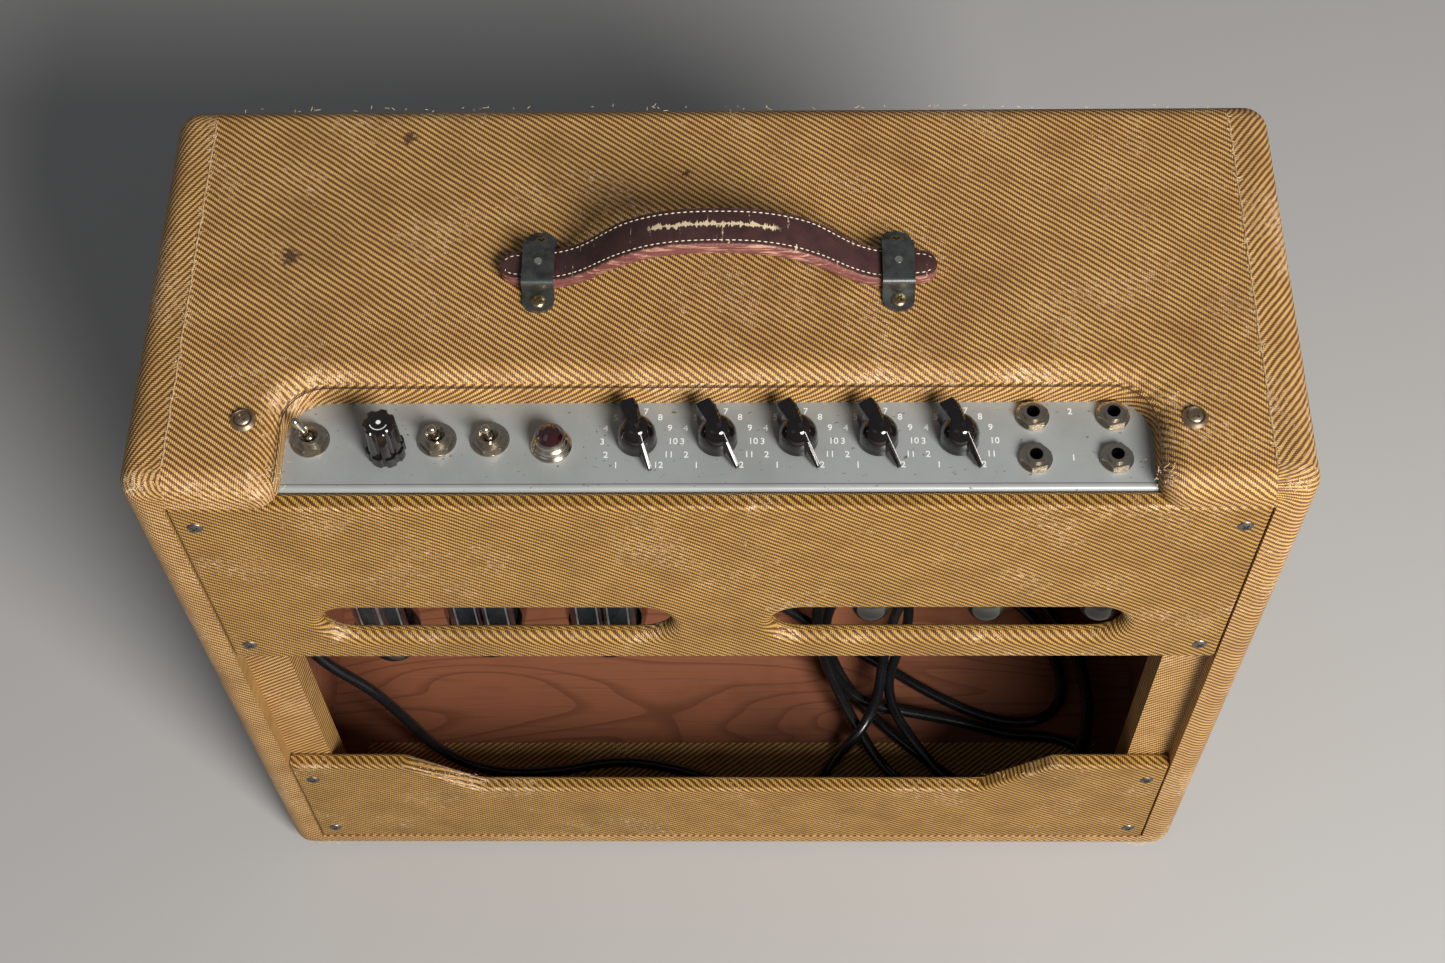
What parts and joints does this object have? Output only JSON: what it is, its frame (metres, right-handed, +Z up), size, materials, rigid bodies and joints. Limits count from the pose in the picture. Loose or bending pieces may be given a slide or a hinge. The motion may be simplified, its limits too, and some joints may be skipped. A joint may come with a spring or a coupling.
{
  "type": "guitar amplifier",
  "caption": "Guitar combo amplifier in a tweed-covered open-back cabinet, with turning knobs, toggle switches, a leather carrying handle, valves and a stored mains cord.",
  "frame": {"origin": "on the surface that the glides stand on, at the middle of the box round the amplifier", "axes": "+Z up, +Y towards the grille cloth, -Y towards the open back and the controls, +X to the right when looking at the back"},
  "size_m": [0.5588, 0.2666, 0.4983],
  "materials": {
    "pine": "bare, worn pine",
    "pine_panels": "bare pine",
    "tweed": "lacquered diagonal twill",
    "tweed_cleats": "lacquered diagonal twill over wood",
    "grille": "open woven cloth",
    "baffle_ply": "plywood",
    "plated_steel": "satin plated",
    "nickel": "aged nickel",
    "aged_steel": "dull and tarnished",
    "leather": "worn, stitched",
    "transformer": "black enamel",
    "rubber": "satin black",
    "fibre_board": "waxed fibre board",
    "capacitor_can": "plain cans",
    "components": "moulded bodies",
    "fuse_glass": "clear",
    "bakelite": "polished bakelite",
    "jewel": "red cut glass",
    "bulb_glass": "clear",
    "zinc": "zinc plated",
    "sockets": "brown phenolic",
    "tube_glass": "clear, smoked inside",
    "knob_plastic": "polished black",
    "cone_paper": "pressed paper",
    "basket_steel": "grey enamel",
    "magnet_paint": "blue-grey enamel"
  },
  "bodies": {
    "cabinet": {"back_panel_screws": "aged_steel", "baffle_board": "baffle_ply", "bottom_board": "pine", "cabinet_tweed": "tweed", "chassis": "plated_steel", "chassis_screws_and_washers": "nickel", "choke": "transformer", "cord_strain_relief": "rubber", "eyelet_board": "fibre_board", "filter_capacitors": "capacitor_can", "front_strips": "tweed_cleats", "fuse_holder": "bakelite", "glides": "aged_steel", "grille_cloth": "grille", "handle_clamps": "aged_steel", "handle_screws": "aged_steel", "handle_strap": "leather", "input_jacks": "nickel", "left_side_board": "pine", "left_speaker_frame": "basket_steel", "left_speaker_magnet": "magnet_paint", "lower_back_board": "pine_panels", "lower_back_tweed": "tweed", "mains_cord": "rubber", "mains_cord_coil": "rubber", "mains_plug": "rubber", "output_transformer": "transformer", "panel_nuts": "nickel", "pilot_bezel": "nickel", "pilot_bulb": "bulb_glass", "pilot_jewel": "jewel", "potentiometers": "zinc", "power_transformer": "transformer", "power_tubes": "tube_glass", "preamp_tubes": "tube_glass", "rectifier_tube": "tube_glass", "right_side_board": "pine", "right_speaker_frame": "basket_steel", "right_speaker_magnet": "magnet_paint", "side_cleats": "tweed_cleats", "signal_capacitors_and_resistors": "components", "speaker_bolts": "zinc", "toggle_switch_bodies": "nickel", "top_board": "pine", "tube_bases": "bakelite", "tube_sockets": "sockets", "upper_back_board": "pine_panels", "upper_back_tweed": "tweed"},
    "knob_1": {"knob_1": "knob_plastic"},
    "knob_2": {"knob_2": "knob_plastic"},
    "knob_3": {"knob_3": "knob_plastic"},
    "knob_4": {"knob_4": "knob_plastic"},
    "knob_5": {"knob_5": "knob_plastic"},
    "ground_switch": {"ground_switch_lever": "nickel"},
    "power_switch": {"power_switch_lever": "nickel"},
    "standby_switch": {"standby_switch_lever": "nickel"},
    "fuse_cap": {"fuse_cap": "bakelite", "fuse": "fuse_glass"},
    "left_cone": {"left_speaker_cone": "cone_paper"},
    "right_cone": {"right_speaker_cone": "cone_paper"}
  },
  "joints": [
    {"name": "knob_1_turn", "type": "hinge", "parent": "cabinet", "child": "knob_1", "pos_m": [-0.0381, -0.0953, 0.44065], "axis": [0, 0, 1], "range_deg": [0, 300]},
    {"name": "knob_2_turn", "type": "hinge", "parent": "cabinet", "child": "knob_2", "pos_m": [0, -0.0953, 0.44065], "axis": [0, 0, 1], "range_deg": [0, 300]},
    {"name": "knob_3_turn", "type": "hinge", "parent": "cabinet", "child": "knob_3", "pos_m": [0.0381, -0.0953, 0.44065], "axis": [0, 0, 1], "range_deg": [0, 300]},
    {"name": "knob_4_turn", "type": "hinge", "parent": "cabinet", "child": "knob_4", "pos_m": [0.0762, -0.0953, 0.44065], "axis": [0, 0, 1], "range_deg": [0, 300]},
    {"name": "knob_5_turn", "type": "hinge", "parent": "cabinet", "child": "knob_5", "pos_m": [0.1143, -0.0953, 0.44065], "axis": [0, 0, 1], "range_deg": [0, 300]},
    {"name": "ground_switch_flip", "type": "hinge", "parent": "cabinet", "child": "ground_switch", "pos_m": [-0.194, -0.0948, 0.44365], "axis": [0, 1, 0], "range_deg": [0, 34]},
    {"name": "power_switch_flip", "type": "hinge", "parent": "cabinet", "child": "power_switch", "pos_m": [-0.1335, -0.0948, 0.44365], "axis": [-1, 0, 0], "range_deg": [0, 34]},
    {"name": "standby_switch_flip", "type": "hinge", "parent": "cabinet", "child": "standby_switch", "pos_m": [-0.1083, -0.0948, 0.44365], "axis": [-1, 0, 0], "range_deg": [0, 34]},
    {"name": "fuse_cap_pull", "type": "slide", "parent": "cabinet", "child": "fuse_cap", "axis": [0, 0, 1], "range_m": [0, 0.045]},
    {"name": "left_cone_travel", "type": "slide", "parent": "cabinet", "child": "left_cone", "axis": [0, 0.9965, 0.083], "range_m": [-0.0025, 0.0025], "stiffness_N_per_m": 1500},
    {"name": "right_cone_travel", "type": "slide", "parent": "cabinet", "child": "right_cone", "axis": [0, 0.9965, 0.083], "range_m": [-0.0025, 0.0025], "stiffness_N_per_m": 1500}
  ]
}
